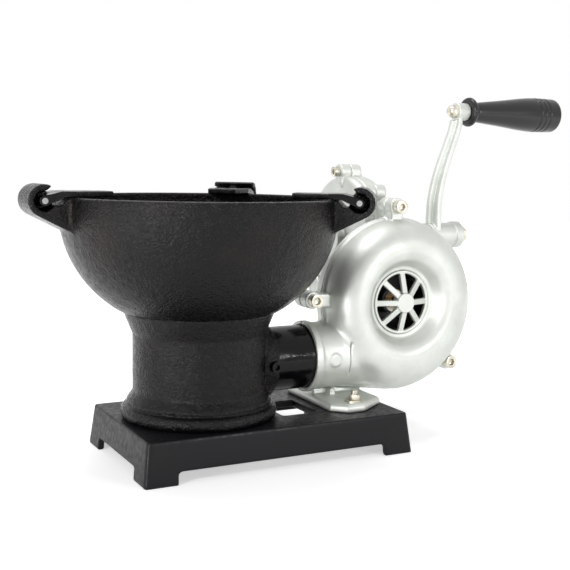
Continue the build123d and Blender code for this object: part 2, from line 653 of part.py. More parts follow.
def cover_split():
    """The corner of the gear case that comes away with its cover."""
    low = FAN_Z + 7
    height = 2 * CASE_RADIUS
    return Pos(CASE_SPLIT - CASE_RADIUS, CRANK_Y, low + height) \
        * Box(2 * CASE_RADIUS, 3 * CASE_RADIUS, 2 * height)


def gear_case_cover():
    body = case_disc(CASE_LEFT, CASE_SPLIT) & cover_split()
    for lug in case_lugs(CASE_LUG_LEFT, CASE_SPLIT):
        body += lug
    body += rod(CASE_BOSS_RADIUS, (CASE_BOSS_LEFT, CRANK_Y, CRANK_Z), X_AXIS, CASE_SPLIT - CASE_BOSS_LEFT - 6)
    for space in gear_space():
        body -= space - rod(CASE_BOSS_RADIUS, (CASE_LEFT, CRANK_Y, CRANK_Z), X_AXIS, 5)
    body -= rod(BUSH_RADIUS, (CASE_BOSS_LEFT + 3, CRANK_Y, CRANK_Z), X_AXIS, CASE_RIGHT - CASE_LEFT)
    for y, z in case_lug_places():
        body -= rod(M6_SHANK + HOLE_PLAY, (CASE_LUG_LEFT, y, z), X_AXIS, CASE_SPLIT - CASE_LUG_LEFT)
    return body.solids().sort_by(SortBy.VOLUME)[-1]


def gear_cover_screws():
    reach = CASE_LUG_RIGHT - CASE_LUG_LEFT - 3
    return [socket_screw(M6_SHANK, reach, M6_SOCKET_HEAD, M6_SOCKET_HEIGHT, M6_SOCKET_KEY,
                         (CASE_LUG_LEFT, y, z), (-1, 0, 0)) for y, z in case_lug_places()]


def blower_foot():
    """Elongated octagon plate with a web and a cross rib up to the outlet."""
    low = BASE_HEIGHT
    half = [(FOOT_LEFT, FOOT_HALF_WIDTH - FOOT_CUT_LEFT), (FOOT_LEFT + FOOT_CUT_LEFT, FOOT_HALF_WIDTH),
            (FOOT_RIGHT - FOOT_CUT_RIGHT - 3, FOOT_HALF_WIDTH), (FOOT_RIGHT, FOOT_HALF_WIDTH - 0.8 * FOOT_CUT_RIGHT)]
    outline = [(x, -y) for x, y in half] + [(x, y) for x, y in reversed(half)]
    plate = extrude(Plane.XY.offset(low) * make_face(Polyline(*outline, outline[0])), FOOT_THICKNESS)
    plate = chamfer(plate.faces().sort_by(Axis.Z)[-1].edges(), 2.5)
    web = Pos((FOOT_LEFT + FOOT_RIGHT) / 2, 0, (low + PIPE_Z) / 2) \
        * Box(FOOT_RIGHT - FOOT_LEFT - 8, 9, PIPE_Z - low)
    rib = Pos(FOOT_BOLT_X - 6, 0, (low + PIPE_Z) / 2) * Box(6, 0.9 * OUTLET_RADIUS, PIPE_Z - low)
    body = plate + web + rib
    body -= outlet(OUTLET_RADIUS + SEATED, OUTLET_START, FOOT_RIGHT) & half_space(True)
    body -= scroll_block(RIM_LIP + SEATED, 0, -COVER_DEPTH)
    for x, y in foot_bolt_places():
        body -= rod(M8_SHANK, (x, y, low), Z_AXIS, FOOT_THICKNESS)
    return body


def blower_housing():
    """Rear casting: half scroll, worm tunnel, wheel case, crank snout and foot in one piece."""
    body = scroll_shell(0, SHELL_DEPTH, SHELL_ROUND, 1)
    body += outlet_neck() & half_space(False)
    body += scroll_block(RIM_LIP, RIM_LIP_DEPTH, 0)
    for lug in lugs(LUG_DEPTH, 0):
        body += lug
    body += blower_foot()
    for space in air_way():
        body -= space
    body += rod(TUNNEL_RADIUS, (FAN_X, SHELL_DEPTH - SCROLL_WALL, FAN_Z), Y_AXIS,
                TUNNEL_END - SHELL_DEPTH + SCROLL_WALL)
    body += case_disc(CASE_SPLIT, CASE_RIGHT)
    for lug in case_lugs(CASE_SPLIT, CASE_LUG_RIGHT):
        body += lug - rod(CASE_CAVITY, (CASE_LEFT, CRANK_Y, CRANK_Z), X_AXIS, CASE_RADIUS)
    body += rod(SNOUT_RADIUS, (CASE_RIGHT - CASE_WALL, CRANK_Y, CRANK_Z), X_AXIS, SNOUT_END - CASE_RIGHT + CASE_WALL)
    for space in gear_space():
        body -= space
    body -= cover_split() & rod(CASE_RADIUS, (0, CRANK_Y, CRANK_Z), X_AXIS, CASE_SPLIT)
    body -= rod(BUSH_RADIUS, (CASE_SPLIT, CRANK_Y, CRANK_Z), X_AXIS, SNOUT_END)
    body -= rod(BUSH_RADIUS, (FAN_X, 0, FAN_Z), Y_AXIS, TUNNEL_END + 1)
    for x, z in lug_places():
        body -= rod(M8_SHANK + SEATED, (x, 0, z), Y_AXIS, LUG_DEPTH - 2)
    for y, z in case_lug_places():
        body -= rod(M6_SHANK + SEATED, (CASE_SPLIT, y, z), X_AXIS, CASE_LUG_RIGHT - CASE_SPLIT - 2)
    body &= half_space(False) + (Pos(FOOT_BOLT_X, 0, 0) * Box(BASE_LENGTH, 2 * BASE_WIDTH, 2 * PIPE_Z))
    return body.solids().sort_by(SortBy.VOLUME)[-1]


def tunnel_cap():
    """Cap over the rear end of the worm tunnel."""
    disc = rod(TUNNEL_RADIUS, (FAN_X, TUNNEL_END, FAN_Z), Y_AXIS, CAP_THICKNESS)
    return disc - hexagon(M8_ACROSS, (FAN_X, TUNNEL_END + CAP_THICKNESS / 2, FAN_Z), Y_AXIS, CAP_THICKNESS)


# --- shafts and gears -------------------------------------------------------------------------------
def bush(shaft, start, axis, length):
    return tube(BUSH_RADIUS - SEATED, shaft + RUNNING, start, axis, length)


def fan_bushes():
    rear = TUNNEL_END - BUSH_LENGTH
    return [bush(FAN_SHAFT_RADIUS, (FAN_X, SHELL_DEPTH - SCROLL_WALL, FAN_Z), Y_AXIS, BUSH_LENGTH),
            bush(FAN_SHAFT_RADIUS, (FAN_X, rear, FAN_Z), Y_AXIS, BUSH_LENGTH)]


def crank_bushes():
    return [bush(CRANK_SHAFT_RADIUS, (start, CRANK_Y, CRANK_Z), X_AXIS, length)
            for start, length in ((CASE_BOSS_LEFT + 3, 9.0), (CASE_RIGHT - CASE_WALL + 2, BUSH_LENGTH),
                                  (SNOUT_END - BUSH_LENGTH, BUSH_LENGTH))]


def fan_shaft():
    front = -(GUARD_DEPTH - 3)
    step = IMPELLER_FRONT + 6
    body = rod(M8_SHANK, (FAN_X, front, FAN_Z), Y_AXIS, step - front)
    return body + rod(FAN_SHAFT_RADIUS, (FAN_X, step, FAN_Z), Y_AXIS, TUNNEL_END - FAN_SHAFT_GAP - step)


def tooth_ring(pitch_radius, count, root, tip, twist=0.0):
    """Closed outline of straight-flanked teeth; the first gap is centred on the angle twist."""
    share = TOOTH_SHARE * 360 / count
    flank = degrees((tip - root) * tan(radians(20)) / pitch_radius)
    points = []
    for i in range(count):
        middle = twist + (i + 0.5) * 360 / count
        for radius, half in ((root, (share + flank) / 2), (tip, (share - flank) / 2)):
            points.append((radius, middle - half))
        for radius, half in ((tip, (share - flank) / 2), (root, (share + flank) / 2)):
            points.append((radius, middle + half))
    corners = [(r * cos(radians(a)), r * sin(radians(a))) for r, a in points]
    return make_face(Polyline(*corners, corners[0]))


def lead():
    """How far a worm thread advances in one turn."""
    return 2 * pi * WHEEL_PITCH_RADIUS * WORM_STARTS / WHEEL_TEETH


def worm_wheel():
    """Wheel whose teeth slant by the worm's lead angle, a gap facing the worm at rest."""
    root, tip = WHEEL_PITCH_RADIUS - TOOTH_DEDENDUM, WHEEL_PITCH_RADIUS + TOOTH_ADDENDUM
    slant = degrees(WHEEL_WIDTH / 2 * lead() / (2 * pi * WORM_PITCH_RADIUS) / WHEEL_PITCH_RADIUS)
    ends = []
    for side in (-1, 1):
        plane = Plane(origin=(FAN_X + side * WHEEL_WIDTH / 2, CRANK_Y, CRANK_Z), x_dir=Y_AXIS, z_dir=X_AXIS)
        ends.append(plane * tooth_ring(WHEEL_PITCH_RADIUS, WHEEL_TEETH, root, tip, -90 + side * slant))
    body = loft(ends, ruled=True)
    body += rod(14, (FAN_X - WHEEL_WIDTH / 2 - 3, CRANK_Y, CRANK_Z), X_AXIS, WHEEL_WIDTH + 6)
    return body - rod(CRANK_SHAFT_RADIUS + SEATED, (CASE_LEFT, CRANK_Y, CRANK_Z), X_AXIS, CASE_RADIUS)


def worm():
    """Three-start right-hand worm, a thread facing the wheel at rest."""
    root, tip = WORM_PITCH_RADIUS - TOOTH_DEDENDUM, WORM_PITCH_RADIUS + TOOTH_ADDENDUM
    axial_share = TOOTH_SHARE * lead() / WORM_STARTS
    flank = (tip - root) * tan(radians(20))
    points = []
    for i in range(WORM_STARTS):
        middle = 90 + i * 360 / WORM_STARTS
        for radius, width in ((root, axial_share + flank), (tip, axial_share - flank)):
            points.append((radius, middle - 180 * width / lead()))
        points.append((tip, middle))
        for radius, width in ((tip, axial_share - flank), (root, axial_share + flank)):
            points.append((radius, middle + 180 * width / lead()))
        points.append((root, middle + 180 / WORM_STARTS))
    corners = [(r * cos(radians(a)), r * sin(radians(a))) for r, a in points]
    section = make_face(Polyline(*corners, corners[0]))
    start = CRANK_Y - WORM_LENGTH / 2
    plane = Plane(origin=(FAN_X, start, FAN_Z), x_dir=(-1, 0, 0), z_dir=Y_AXIS)
    turn = 360 * WORM_LENGTH / lead()
    end_face = (plane * Rot(0, 0, -turn / 2) * section).face()
    twisted = Solid.extrude_linear_with_rotation(
        end_face, plane.origin, plane.z_dir * WORM_LENGTH, turn)
    return twisted - rod(FAN_SHAFT_RADIUS + SEATED, (FAN_X, start - 1, FAN_Z), Y_AXIS, WORM_LENGTH + 2)


def impeller():
    plate_front = IMPELLER_BACK - IMPELLER_PLATE
    body = rod(IMPELLER_RADIUS, (FAN_X, IMPELLER_BACK, FAN_Z), (0, -1, 0), IMPELLER_PLATE)
    body += rod(IMPELLER_HUB, (FAN_X, IMPELLER_BACK, FAN_Z), (0, -1, 0), IMPELLER_BACK - IMPELLER_FRONT - 6)
    stand = facing(plate_front).location
    for i in range(BLADE_COUNT):
        angles = (0, BLADE_SWEEP / 3, BLADE_SWEEP)
        radii = (IMPELLER_EYE, (IMPELLER_EYE + IMPELLER_RADIUS) / 2, IMPELLER_RADIUS - 1)
        line = ThreePointArc(*[(r * cos(radians(a)), r * sin(radians(a))) for r, a in zip(radii, angles)])
        blade = trace(line, BLADE_THICKNESS)
        placed = Pos(FAN_X, plate_front, FAN_Z) * Rot(90, 0, 0) * Rot(0, 0, i * 360 / BLADE_COUNT) * blade
        body += extrude(placed, plate_front - IMPELLER_FRONT, dir=(0, -1, 0))
    return body - rod(FAN_SHAFT_RADIUS + SEATED, (FAN_X, -DOME_CREST, FAN_Z), Y_AXIS, 2 * DOME_CREST)


def impeller_washer():
    seat = IMPELLER_FRONT + 6
    return tube(11, M8_SHANK + SEATED, (FAN_X, seat, FAN_Z), (0, -1, 0), WASHER)


def impeller_nut():
    seat = IMPELLER_FRONT + 6 - WASHER
    nut = hexagon(M8_ACROSS, (FAN_X, seat, FAN_Z), (0, -1, 0), M8_NUT - 1)
    return nut - rod(M8_SHANK + SEATED, (FAN_X, seat, FAN_Z), (0, -1, 0), M8_NUT)


# --- crank ------------------------------------------------------------------------------------------
def crank_shaft():
    start = CASE_BOSS_LEFT + 4
    body = rod(CRANK_SHAFT_RADIUS, (start, CRANK_Y, CRANK_Z), X_AXIS, HUB_END - 1 - start)
    return body + rod(M10_SHANK, (HUB_END - 1, CRANK_Y, CRANK_Z), X_AXIS, M10_NUT + 3)


def crank_nut():
    nut = hexagon(M10_ACROSS, (HUB_END, CRANK_Y, CRANK_Z), X_AXIS, M10_NUT)
    return nut - rod(M10_SHANK + SEATED, (HUB_END, CRANK_Y, CRANK_Z), X_AXIS, M10_NUT)


def arm_curve(shift):
    """S-shaped side view of the arm's flange face, moved outwards by shift."""
    low, high = CRANK_Z, CRANK_Z + CRANK_THROW
    near, far = ARM_X + shift, ARM_X + ARM_OFFSET + shift
    return Spline((near, low), (near + 0.01 * ARM_OFFSET, low + 0.24 * CRANK_THROW),
                  (near + 0.57 * ARM_OFFSET, low + 0.67 * CRANK_THROW),
                  (far - 0.02 * ARM_OFFSET, high - 0.09 * CRANK_THROW), (far, high),
                  tangents=[(0, 1), (0, 1)])


def arm_slab(inner, outer, width):
    """The arm's side view between two offsets, as thick as width across the arm."""
    first, second = arm_curve(inner), arm_curve(outer)
    face = make_face(first + Line(first @ 1, second @ 1) + second + Line(second @ 0, first @ 0))
    return Pos(0, CRANK_Y, 0) * extrude(Plane.XZ * face, width / 2, both=True)


def crank_arm():
    low, high = CRANK_Z, CRANK_Z + CRANK_THROW
    taper = make_face(Polyline((-ARM_ROOT_WIDTH / 2, low), (ARM_ROOT_WIDTH / 2, low),
                               (ARM_TIP_WIDTH / 2, high), (-ARM_TIP_WIDTH / 2, high), (-ARM_ROOT_WIDTH / 2, low)))
    outline = extrude(Plane(origin=(0, CRANK_Y, 0), x_dir=Y_AXIS, z_dir=X_AXIS) * taper, 2 * HUB_END)
    body = arm_slab(0, ARM_FLANGE, ARM_ROOT_WIDTH) & outline
    body += arm_slab(-ARM_RIB, 0, ARM_RIB_WIDTH)
    hub_start = SNOUT_END + PARTED
    body -= rod(HUB_RADIUS, (0, CRANK_Y, CRANK_Z), X_AXIS, hub_start)
    body += rod(HUB_RADIUS, (hub_start, CRANK_Y, CRANK_Z), X_AXIS, HUB_END - hub_start)
    body += rod(HUB_COLLAR_RADIUS, (HUB_END - HUB_COLLAR, CRANK_Y, CRANK_Z), X_AXIS, HUB_COLLAR)
    boss_start = ARM_X + ARM_OFFSET - 1
    body += rod(TIP_BOSS_RADIUS, (boss_start, CRANK_Y, high), X_AXIS, TIP_BOSS_LENGTH)
    body -= rod(CRANK_SHAFT_RADIUS + SEATED, (hub_start, CRANK_Y, CRANK_Z), X_AXIS, HUB_END - hub_start)
    body -= rod(M8_SHANK + SEATED, (boss_start - ARM_RIB, CRANK_Y, high), X_AXIS, 2 * TIP_BOSS_LENGTH)
    head_seat = Pos(boss_start - TIP_BOSS_RADIUS, CRANK_Y, high) * Box(
        2 * TIP_BOSS_RADIUS, 2 * TIP_BOSS_RADIUS, 2 * TIP_BOSS_RADIUS)
    return (body - head_seat).solids().sort_by(SortBy.VOLUME)[-1]


def tip_boss_end():
    return ARM_X + ARM_OFFSET - 1 + TIP_BOSS_LENGTH


def grip_start():
    return tip_boss_end() + PARTED


def grip_spindle():
    """Shouldered steel pin: a thin end through the arm's boss and a journal inside the grip."""
    high = CRANK_Z + CRANK_THROW
    end = grip_start() + GRIP_LENGTH
    body = rod(M8_SHANK, (ARM_X + ARM_OFFSET - 8, CRANK_Y, high), X_AXIS, TIP_BOSS_LENGTH + 7)
    body += rod(SPINDLE_RADIUS, (tip_boss_end(), CRANK_Y, high), X_AXIS, end - 9 - tip_boss_end())
    return body + rod(SPINDLE_RADIUS + 3, (end - 9 + PARTED, CRANK_Y, high), X_AXIS, 3) \
        + rod(SPINDLE_RADIUS, (end - 9, CRANK_Y, high), X_AXIS, PARTED)


def spindle_nut():
    """Domed nut on the inner side of the arm's boss."""
    seat = (ARM_X + ARM_OFFSET - 1, CRANK_Y, CRANK_Z + CRANK_THROW)
    nut = rod(DOME_NUT_RADIUS, seat, (-1, 0, 0), DOME_NUT_HEIGHT)
    nut = fillet(nut.edges().sort_by(Axis.X)[0], 0.8 * DOME_NUT_RADIUS)
    return nut - rod(M8_SHANK + SEATED, seat, (-1, 0, 0), DOME_NUT_HEIGHT - 2)


def crank_grip():
    """Turned handle: bulb, neck, a long swell with three grooves and a rounded end."""
    length = GRIP_LENGTH
    bore = SPINDLE_RADIUS + RUNNING
    pocket = SPINDLE_RADIUS + 4
    groove_places = (0.74 * length, 0.795 * length, 0.85 * length)
    outside = (
        Line((bore, 0), (GRIP_BULB - 2.5, 0))
        + ThreePointArc((GRIP_BULB - 2.5, 0), (GRIP_BULB, 3), (GRIP_BULB - 3, 6.5))
        + ThreePointArc((GRIP_BULB - 3, 6.5), (GRIP_NECK + 0.6, 8.6), (GRIP_NECK + 0.5, 12))
        + Spline((GRIP_NECK + 0.5, 12), (0.78 * GRIP_RADIUS, 0.42 * length), (GRIP_RADIUS, 0.78 * length),
                 tangents=[(0.12, 1), (0.02, 1)])
        + Line((GRIP_RADIUS, 0.78 * length), (GRIP_RADIUS - 0.4, length - GRIP_END))
        + ThreePointArc((GRIP_RADIUS - 0.4, length - GRIP_END),
                        (GRIP_RADIUS - 0.4 - 0.3 * GRIP_END, length - 0.3 * GRIP_END),
                        (GRIP_RADIUS - 0.4 - GRIP_END, length))
        + Polyline((GRIP_RADIUS - 0.4 - GRIP_END, length), (pocket, length), (pocket, length - 9),
                   (bore, length - 9), (bore, 0))
    )
    body = turned(make_face(outside), (grip_start(), CRANK_Y, CRANK_Z + CRANK_THROW), X_AXIS)
    for place in groove_places:
        ring = tube(GRIP_RADIUS + 2, GRIP_RADIUS - 0.2 - GRIP_GROOVE,
                    (grip_start() + place, CRANK_Y, CRANK_Z + CRANK_THROW), X_AXIS, 2 * GRIP_GROOVE)
        body -= ring
    return body


# --- blower fasteners -------------------------------------------------------------------------------
def foot_bolts():
    head_z = BASE_HEIGHT - TOP_WALL - M6_HEAD
    top = BASE_HEIGHT + FOOT_THICKNESS + WASHER + M6_NUT + 4
    return [hexagon(M6_ACROSS, (x, y, head_z), Z_AXIS, M6_HEAD)
            + rod(M6_SHANK, (x, y, head_z + M6_HEAD), Z_AXIS, top - head_z - M6_HEAD)
            for x, y in foot_bolt_places()]


def foot_washers():
    seat = BASE_HEIGHT + FOOT_THICKNESS
    return [tube(FOOT_WASHER_RADIUS, M6_SHANK + SEATED, (x, y, seat), Z_AXIS, WASHER)
            for x, y in foot_bolt_places()]


def foot_nuts():
    seat = BASE_HEIGHT + FOOT_THICKNESS + WASHER
    return [hexagon(M6_ACROSS, (x, y, seat), Z_AXIS, M6_NUT)
            - rod(M6_SHANK + SEATED, (x, y, seat), Z_AXIS, M6_NUT) for x, y in foot_bolt_places()]


# --- the whole assembly -----------------------------------------------------------------------------
def all_pieces():
    """Every node's name with the function that makes it."""
    nodes = [base_plate, pedestal, pedestal_bolts, fire_bowl, fire_grate, air_pipe, pipe_set_screw,
             blower_housing, front_cover, inlet_guard, housing_screws, gear_case_cover,
             gear_cover_screws, tunnel_cap, fan_bushes, crank_bushes, foot_bolts, foot_washers, foot_nuts,
             fan_shaft, worm, impeller, impeller_washer, impeller_nut,
             crank_shaft, worm_wheel, crank_arm, crank_nut, grip_spindle, spindle_nut, crank_grip]
    pieces = {node.__name__: node() for node in nodes}
    pieces["pot_rest_pins"] = [from_bowl(angle, pot_rest_pin()) for angle in EAR_ANGLES.values()]
    for side, angle in EAR_ANGLES.items():
        pieces[f"pot_rest_{side}"] = from_bowl(angle, pot_rest())
    return pieces


def main():
    os.makedirs("parts", exist_ok=True)
    for name, solids in all_pieces().items():
        write(name, solids)


main()
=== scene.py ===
from math import atan2, cos, hypot, radians, sin, tau

import bmesh
import bpy
from mathutils import Matrix, Vector
from mathutils.bvhtree import BVHTree


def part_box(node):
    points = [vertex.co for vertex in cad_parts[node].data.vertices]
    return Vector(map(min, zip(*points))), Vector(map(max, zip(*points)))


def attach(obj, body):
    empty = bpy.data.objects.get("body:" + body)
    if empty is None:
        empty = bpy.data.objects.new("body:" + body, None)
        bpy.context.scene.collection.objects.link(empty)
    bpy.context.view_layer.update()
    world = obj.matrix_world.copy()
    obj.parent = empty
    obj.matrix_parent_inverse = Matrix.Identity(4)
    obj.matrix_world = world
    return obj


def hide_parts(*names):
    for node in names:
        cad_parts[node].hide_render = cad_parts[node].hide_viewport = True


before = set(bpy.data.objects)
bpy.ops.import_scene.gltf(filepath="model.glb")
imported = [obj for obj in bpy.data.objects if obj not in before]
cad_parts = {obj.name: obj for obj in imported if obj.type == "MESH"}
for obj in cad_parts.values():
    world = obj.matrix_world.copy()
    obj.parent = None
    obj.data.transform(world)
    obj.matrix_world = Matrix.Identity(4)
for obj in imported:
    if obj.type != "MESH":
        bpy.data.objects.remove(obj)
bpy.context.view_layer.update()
MM = 0.001
base_low, base_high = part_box("base_plate")
BASE_MIDDLE = Vector(((base_low[0] + base_high[0]) / 2, (base_low[1] + base_high[1]) / 2, 0))

# --- Camera --------------------------------------------------------------------------------------------
# The photograph is taken from the bowl's side of the inlet, a little above the rim. Its place and focal
# length are those at which the base's edges, the rim and the fan's axis fall where they are in the picture.
CAMERA_PLACE = BASE_MIDDLE + Vector((-395.10, -823.77, 264.66)) * MM
CAMERA_YAW, CAMERA_PITCH, CAMERA_ROLL = radians(27.6056), radians(6.8979), radians(0.8606)
CAMERA_LENS, SENSOR_WIDTH = 62.93, 36

ahead = Vector((sin(CAMERA_YAW) * cos(CAMERA_PITCH), cos(CAMERA_YAW) * cos(CAMERA_PITCH),
                -sin(CAMERA_PITCH)))
level_right = Vector((cos(CAMERA_YAW), -sin(CAMERA_YAW), 0))
level_up = level_right.cross(ahead)
right = level_right * cos(CAMERA_ROLL) + level_up * sin(CAMERA_ROLL)
up = level_up * cos(CAMERA_ROLL) - level_right * sin(CAMERA_ROLL)


def linked(name, data):
    """A new object on this data, in the scene."""
    made = bpy.data.objects.new(name, data)
    bpy.context.scene.collection.objects.link(made)
    return made


camera = linked("camera", bpy.data.cameras.new("camera"))
camera.data.lens = CAMERA_LENS
camera.data.sensor_width = SENSOR_WIDTH
camera.matrix_world = Matrix((right, up, -ahead)).transposed().to_4x4()
camera.location = CAMERA_PLACE
bpy.context.scene.camera = camera

# --- Base plate ----------------------------------------------------------------------------------------
# A hollow iron tray on four corner feet, sand cast, dressed on its edges and stoved in satin black. The
# casting's own edges are round, so the model is re-skinned finely enough to carry those small radii.
BASE_SKIN = 1.25 * MM
SATIN_BLACK = "#121315"
PAINT_SPECULAR = 0.2      # old brushed paint shines less than a new coat
STAIN_AND_REFLECTION_WIDTH = 60 * MM     # brown comes in patches about this wide: rust on bare iron, painted warm reflection on the black iron
STAIN_AND_REFLECTION_FROM, STAIN_AND_REFLECTION_TO = 0.5, 0.72
LUMPS_PER_GRAIN = 4       # the mould's lumps, in widths of a grain of its sand
GLOSSIER, DULLER = 0.08, 0.1
DOUBLE = 1e-6             # vertices of a CAD mesh closer than this are one


def colour(text):
    """An sRGB hex colour as linear red, green, blue and alpha."""
    parts = [int(text[i:i + 2], 16) / 255 for i in (1, 3, 5)]
    return [c / 12.92 if c <= 0.04045 else ((c + 0.055) / 1.055) ** 2.4 for c in parts] + [1.0]


def add(tree, kind, settings=(), **links):
    """Add a node; settings name its properties and inputs, links name the inputs that a socket feeds."""
    made = tree.nodes.new(kind)
    for name, value in dict(settings).items():
        if isinstance(name, str) and hasattr(made, name):
            setattr(made, name, value)
        else:
            made.inputs[name].default_value = value
    for name, source in links.items():
        tree.links.new(source, made.inputs[int(name[1:]) if name[1:].isdigit() else name])
    return made


def blank(name):
    """A new material with its shader and its output, and the object's own coordinates."""
    material = bpy.data.materials.new(name)
    material.use_nodes = True
    tree = material.node_tree
    shader = tree.nodes["Principled BSDF"]
    place = add(tree, "ShaderNodeTexCoord").outputs["Object"]
    return material, tree, shader, place


def ramp(tree, source, low, high, start, end):
    """Blend from the colour start to end as source rises from low to high."""
    made = add(tree, "ShaderNodeValToRGB", n0=source)
    made.color_ramp.elements[0].position, made.color_ramp.elements[1].position = low, high
    made.color_ramp.elements[0].color, made.color_ramp.elements[1].color = colour(start), colour(end)
    return made.outputs["Color"]


def blobs(width, detail=3.0, rough=0.55):
    """The settings of noise whose blobs are about width metres across."""
    return {"Scale": 1 / width, "Detail": detail, "Roughness": rough}


def bump(tree, shader, *layers):
    """Lay bumps on each other; each layer is a height socket and a depth in metres."""
    normal = None
    for height, depth in layers:
        made = add(tree, "ShaderNodeBump", {"Distance": depth}, Height=height)
        if normal is not None:
            tree.links.new(normal, made.inputs["Normal"])
        normal = made.outputs["Normal"]
    tree.links.new(normal, shader.inputs["Normal"])


def cast_black(name, dark, brown, sheen, grain, depth):
    """Black-painted sand casting: the sand's grain shows through the paint, with brown in random patches that
    are rust on bare iron and painted warm reflection on the bowl and pedestal.
    """
    material, tree, shader, place = blank(name)
    stain_and_reflection = add(tree, "ShaderNodeTexNoise", blobs(STAIN_AND_REFLECTION_WIDTH, 4), Vector=place).outputs["Fac"]
    tree.links.new(ramp(tree, stain_and_reflection, STAIN_AND_REFLECTION_FROM, STAIN_AND_REFLECTION_TO, dark, brown), shader.inputs["Base Color"])
    sand = add(tree, "ShaderNodeTexNoise", blobs(grain, 2, 0.6), Vector=place).outputs["Fac"]
    lumps = add(tree, "ShaderNodeTexNoise", blobs(LUMPS_PER_GRAIN * grain, 2), Vector=place).outputs["Fac"]
    gloss = add(tree, "ShaderNodeMapRange", {"From Min": 0.35, "From Max": 0.65, "To Min": sheen - GLOSSIER,
                                             "To Max": sheen + DULLER}, Value=lumps)
    tree.links.new(gloss.outputs["Result"], shader.inputs["Roughness"])
    shader.inputs["Specular IOR Level"].default_value = PAINT_SPECULAR
    bump(tree, shader, (lumps, 0.9 * depth), (sand, depth))
    return material


def skinned(name, sources, skin, passes, keep=1.0):
    """Join closed meshes under one skin of small faces, and ease its edges by smoothing it passes times."""
    joined = bmesh.new()
    for source in sources:
        joined.from_mesh(source)
    bmesh.ops.remove_doubles(joined, verts=joined.verts, dist=DOUBLE)
    mesh = bpy.data.meshes.new(name)
    joined.to_mesh(mesh)
    joined.free()
    piece = linked(name, mesh)
    remesh = piece.modifiers.new("skin", "REMESH")
    remesh.mode = "VOXEL"
    remesh.voxel_size = skin
    smooth = piece.modifiers.new("ease", "SMOOTH")
    smooth.factor = 0.5
    smooth.iterations = passes
    if keep < 1:
        thin = piece.modifiers.new("thin", "DECIMATE")
        thin.ratio = keep
    bake(piece)
    return piece


def bake(piece, crease=None):
    """Turn what the modifiers make into the piece's own mesh; edges sharper than crease stay crisp."""
    graph = bpy.context.evaluated_depsgraph_get()
    done = bpy.data.meshes.new_from_object(piece.evaluated_get(graph))
    done.name = piece.name
    piece.modifiers.clear()
    piece.data = done
    for face in done.polygons:
        face.use_smooth = True
    if crease is not None:
        done.set_sharp_from_angle(angle=crease)


def dress(piece, body, material, slot_name, *nodes):
    """Give a finished piece its material and its body, and hide the nodes that it stands for; its slot_name
    is not used.
    """
    piece.data.materials.clear()
    piece.data.materials.append(material)
    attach(piece, body)
    if nodes:
        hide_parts(*nodes)


def casting(name, skin, passes, material, slot_name, body="stand", keep=1.0):
    """Stand a finely skinned copy of a node in for it."""
    piece = skinned(name + "_cast", [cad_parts[name].data], skin, passes, keep)
    dress(piece, body, material, slot_name, name)
    return piece


base_enamel = cast_black("satin_black_stove_enamel", SATIN_BLACK, "#161617", 0.36, 1.2 * MM, 0.08 * MM)
casting("base_plate", BASE_SKIN, 3, base_enamel, "painted_base")

# --- Pedestal and fire bowl ------------------------------------------------------------------------------
# Two grey iron castings straight from a coarse sand mould, brushed with semi-gloss black; their brown patches
# are painted warm reflection.
# The sand's lumps break the light up. The pedestal is bolted to the plate and the bowl rests in its top.
IRON_SKIN = 1.5 * MM
# The brown in this finish is a painted warm reflection, laid on in random patches.
cast_iron = cast_black("brushed_black_on_sand_cast_iron", "#08080A", "#1A130E", 0.22, 1.7 * MM, 0.95 * MM)
casting("pedestal", 1.15 * MM, 2, cast_iron, "black_iron")
casting("fire_bowl", IRON_SKIN, 2, cast_iron, "black_iron", keep=0.75)

# --- Grate -----------------------------------------------------------------------------------------------
# A round slotted plate of bare cast iron, grey and matt, with rust in its hollows. It lies loose on a ledge
# in the bowl's throat, below the fire.
bare_iron = cast_black("bare_cast_iron", "#2B2A29", "#3A332C", 0.6, 1.2 * MM, 0.2 * MM)
casting("fire_grate", 0.8 * MM, 2, bare_iron, "grey_iron")

# --- Pot rests -------------------------------------------------------------------------------------------
# Flat bars forged to a knuckle at one end and dipped in semi-gloss black. Each hangs by its knuckle on a
# pin in one of the bowl's hooked ears, and lies on the rim until it is tipped outwards.
rest_paint = cast_black("semi_gloss_black_on_forged_bar", "#0B0B0C", "#141211", 0.2, 2.6 * MM, 0.12 * MM)
for side in ("left", "front", "rear"):
    casting(f"pot_rest_{side}", 0.55 * MM, 3, rest_paint, "black_iron", body=f"pot_rest_{side}")

# --- Air pipe --------------------------------------------------------------------------------------------
# A stub of two inch steel pipe, smooth under gloss black paint that mirrors the room in long streaks. It is
# pushed into the pedestal's socket at one end and into the blower's outlet at the other.
gloss_black = cast_black("gloss_black_on_steel_pipe", "#0A0B0D", "#0F0E0E", 0.15, 3.0 * MM, 0.1 * MM)
casting("air_pipe", 0.8 * MM, 2, gloss_black, "black_pipe")

# --- Blower castings -------------------------------------------------------------------------------------
# The blower's halves, the gear case and the crank arm are sand-cast aluminium, tumbled until they have
# an even satin skin: pale grey with slightly darker hollows and a fine grain.
ALUMINIUM = "#DDE0DB"
ALUMINIUM_DULL = "#CFD2CC"
FAN_AXIS = BASE_MIDDLE + Vector((152.4, 0, 133)) * MM
CREST_RADIUS, CREST_DEPTH = 53 * MM, 38 * MM
SHOULDER_FOOT = 4 * MM
SHOULDER_FULLNESS = 2.25
TONGUE_TURN, SCROLL_SWEEP = radians(190), radians(280)
TONGUE_RADIUS, FLOOR_RADIUS = 75 * MM, 89 * MM
OUTLET_DROP, OUTLET_RADIUS = 50 * MM, 32 * MM
OUTLET_RING_INNER = 90 * MM
OUTLET_STEP = (-67 * MM, -57 * MM)     # where the outlet's round part ends against the scroll
BLEND = 9 * MM            # how wide the hollow is where the dome runs into the outlet
SKIM = 0.3                # a skin that leans this far towards or away from the front still shows
LIFT_OFF = 0.3 * MM
EASE_PASSES = 10


